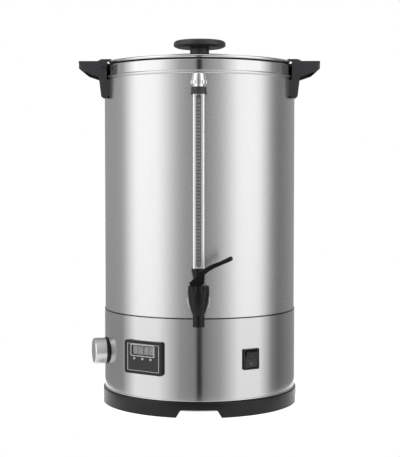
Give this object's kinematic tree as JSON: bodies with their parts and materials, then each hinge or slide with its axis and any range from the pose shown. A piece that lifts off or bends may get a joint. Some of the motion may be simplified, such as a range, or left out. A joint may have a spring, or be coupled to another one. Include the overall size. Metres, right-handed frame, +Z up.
{
  "type": "hot water urn",
  "caption": "Upright stainless steel hot water urn with a lift-off lid, side handles, level gauge, self-closing tap and electronic controller.",
  "frame": {"origin": "centre of the base ring on the surface the urn stands on, on the axis of the tank", "axes": "+Z up along the tank, -Y towards the tap at the front, +X to the right as seen from the front"},
  "size_m": [0.371, 0.3664, 0.5713],
  "materials": {
    "tank_steel": "satin stainless steel, fine upright grain, polished at the collar",
    "housing_steel": "stainless steel brushed round",
    "bright_steel": "polished stainless steel",
    "chrome": "polished chrome plating",
    "black_plastic": "black heat-proof plastic, fine grain",
    "black_gloss": "smooth black plastic",
    "silicone": "silicone rubber",
    "glass": "clear tube",
    "smoked": "smoked clear plastic",
    "aluminium": "turned aluminium",
    "white_plastic": "white plastic",
    "board": "glass fibre board",
    "zinc": "zinc plated steel",
    "brass": "turned brass"
  },
  "bodies": {
    "urn": {"base_ring": "black_plastic", "board_posts": "brass", "board_relay": "black_gloss", "board_transformer": "zinc", "boil_dry_thermostat": "black_plastic", "bottom_plate": "zinc", "case_screws": "zinc", "control_board": "board", "controller_board": "board", "controller_case": "black_plastic", "controller_face": "black_gloss", "display_lens": "smoked", "display_module": "smoked", "floor_nuts": "brass", "gauge_cap": "chrome", "gauge_collar": "black_plastic", "gauge_cup": "black_plastic", "gauge_guard": "bright_steel", "gauge_ring": "chrome", "gauge_scale": "white_plastic", "gauge_tee": "bright_steel", "handle_left": "black_plastic", "handle_right": "black_plastic", "handle_screws": "zinc", "heater_glands": "brass", "heater_tube": "bright_steel", "inlet_pins": "brass", "knob_control": "black_plastic", "knob_ring": "black_plastic", "lower_housing": "housing_steel", "power_inlet": "black_plastic", "sight_glass": "glass", "switch_body": "black_plastic", "tank": "tank_steel", "tank_floor": "tank_steel", "tank_washers": "silicone", "tap_body": "black_gloss", "tap_bonnet": "black_gloss", "tap_flange": "chrome", "tap_nut": "chrome", "tap_spring": "bright_steel", "temperature_probe": "bright_steel", "terminal_block": "white_plastic", "thermostat_clip": "zinc", "water_seals": "silicone"},
    "lid_seal": {"lid_gasket": "silicone"},
    "lid": {"lid": "bright_steel", "lid_knob": "black_plastic", "lid_screw": "zinc"},
    "valve": {"seat_cup": "silicone"},
    "stem": {"tap_stem": "bright_steel", "lever_pin": "bright_steel"},
    "lever": {"tap_lever": "black_gloss"},
    "rocker": {"switch_rocker": "black_gloss"},
    "knob": {"side_knob": "aluminium", "knob_shaft": "zinc"},
    "key_left": {"button_left": "white_plastic"},
    "key_middle": {"button_middle": "white_plastic"},
    "key_right": {"button_right": "white_plastic"}
  },
  "joints": [
    {"name": "lid_lift", "type": "slide", "parent": "urn", "child": "lid_seal", "axis": [0, 0, 1], "range_m": [0, 0.13]},
    {"name": "lid_turn", "type": "hinge", "parent": "lid_seal", "child": "lid", "pos_m": [0, 0, 0.53], "axis": [0, 0, 1], "range_deg": [-50, 0]},
    {"name": "valve_lift", "type": "slide", "parent": "urn", "child": "valve", "axis": [0, 0, 1], "range_m": [0, 0.00212], "deforming": ["tap_spring"]},
    {"name": "lever_swivel", "type": "hinge", "parent": "valve", "child": "stem", "pos_m": [0, -0.195, 0.19], "axis": [0, 0, 1], "range_deg": [-180, 0]},
    {"name": "lever_tilt", "type": "hinge", "parent": "stem", "child": "lever", "pos_m": [0, -0.195, 0.20525], "axis": [0, 1, 0], "range_deg": [0, 45], "stiffness_Nm_per_rad": 0.3, "springref_deg": -22.92},
    {"name": "rocker_switch", "type": "hinge", "parent": "urn", "child": "rocker", "pos_m": [0.07576, -0.1276, 0.08425], "axis": [-0.8599, -0.5105, 0], "range_deg": [0, 16]},
    {"name": "side_knob_turn", "type": "hinge", "parent": "urn", "child": "knob", "pos_m": [-0.15426, -0.04249, 0.083], "axis": [0.9641, 0.2656, 0], "range_deg": [0, 270]},
    {"name": "press_left", "type": "slide", "parent": "urn", "child": "key_left", "axis": [0.5446, 0.8387, 0], "range_m": [0, 0.0006], "stiffness_N_per_m": 600, "springref_m": -0.0004},
    {"name": "press_middle", "type": "slide", "parent": "urn", "child": "key_middle", "axis": [0.5446, 0.8387, 0], "range_m": [0, 0.0006], "stiffness_N_per_m": 600, "springref_m": -0.0004},
    {"name": "press_right", "type": "slide", "parent": "urn", "child": "key_right", "axis": [0.5446, 0.8387, 0], "range_m": [0, 0.0006], "stiffness_N_per_m": 600, "springref_m": -0.0004}
  ],
  "couplings": [
    {"joint": "lever_tilt", "follows": "valve_lift", "rad_per_m": 371.04}
  ]
}
